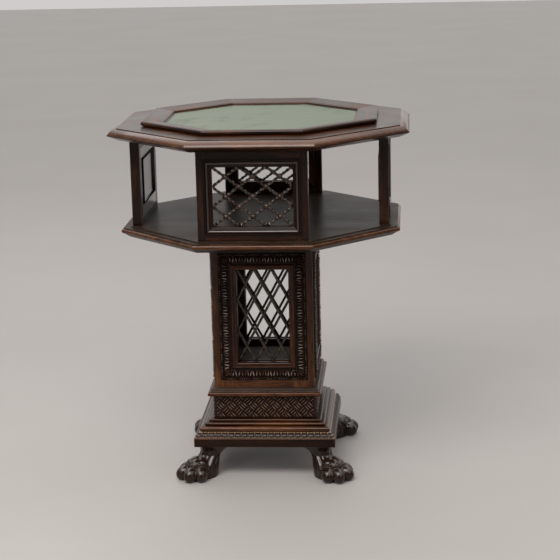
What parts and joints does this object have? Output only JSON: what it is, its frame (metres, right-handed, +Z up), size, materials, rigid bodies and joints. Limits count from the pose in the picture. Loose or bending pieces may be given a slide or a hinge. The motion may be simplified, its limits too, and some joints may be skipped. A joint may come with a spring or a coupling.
{
  "type": "octagonal book table",
  "caption": "Octagonal book table: framed green top and lattice panels over a shelf, turning on a square carved pedestal with lion-paw feet.",
  "frame": {"origin": "on the floor under the middle of the table", "axes": "+Z up along the swivel axis, front of the table towards -Y, +X to its right"},
  "size_m": [0.655, 0.655, 0.8037],
  "materials": {
    "walnut": "dark stained and varnished, worn lighter on the edges",
    "carved_walnut": "dark stained carving, glossy varnish",
    "lattice_iron": "wrought rods, dark bronzed",
    "swivel_iron": "dark iron, oiled",
    "washer_brass": "plain",
    "dowel_beech": "raw",
    "green_leather": "faded sage green with soft darker creases, satin"
  },
  "bodies": {
    "stand": {"base_plate_screws": "swivel_iron", "carved_border_back": "walnut", "carved_border_front": "walnut", "carved_border_left": "walnut", "carved_border_right": "walnut", "foot_dowels": "dowel_beech", "frieze_boards": "walnut", "paw_foot_back_left": "carved_walnut", "paw_foot_back_right": "carved_walnut", "paw_foot_front_left": "carved_walnut", "paw_foot_front_right": "carved_walnut", "pedestal_bead_back": "walnut", "pedestal_bead_front": "walnut", "pedestal_bead_left": "walnut", "pedestal_bead_right": "walnut", "pedestal_board_left": "walnut", "pedestal_board_right": "walnut", "pedestal_cap": "walnut", "pedestal_frame_back": "walnut", "pedestal_frame_front": "walnut", "pedestal_frame_left": "walnut", "pedestal_frame_right": "walnut", "pedestal_lattice_back": "lattice_iron", "pedestal_lattice_front": "lattice_iron", "plinth_corner_blocks": "walnut", "plinth_leaf_moulding": "walnut", "plinth_roll_moulding": "walnut", "plinth_slab": "walnut", "sight_moulding_back": "walnut", "sight_moulding_front": "walnut", "sight_moulding_left": "walnut", "sight_moulding_right": "walnut", "step_board": "walnut", "swivel_base_plate": "swivel_iron", "swivel_spindle": "swivel_iron", "thrust_washer": "washer_brass"},
    "revolving_top": {"green_panel": "green_leather", "panel_bead_back": "walnut", "panel_bead_front": "walnut", "panel_bead_left": "walnut", "panel_bead_right": "walnut", "panel_board_left": "walnut", "panel_board_right": "walnut", "panel_dowels": "dowel_beech", "panel_frame_back": "walnut", "panel_frame_front": "walnut", "panel_frame_left": "walnut", "panel_frame_right": "walnut", "panel_lattice_back": "lattice_iron", "panel_lattice_front": "lattice_iron", "panel_moulding_back": "walnut", "panel_moulding_front": "walnut", "panel_moulding_left": "walnut", "panel_moulding_right": "walnut", "raised_frame": "walnut", "shelf_board": "walnut", "swivel_top_plate": "swivel_iron", "top_board": "walnut", "top_plate_screws": "swivel_iron"}
  },
  "joints": [
    {"name": "top_swivel", "type": "hinge", "parent": "stand", "child": "revolving_top", "pos_m": [0, 0, 0.5503], "axis": [0, 0, 1], "continuous": true}
  ]
}
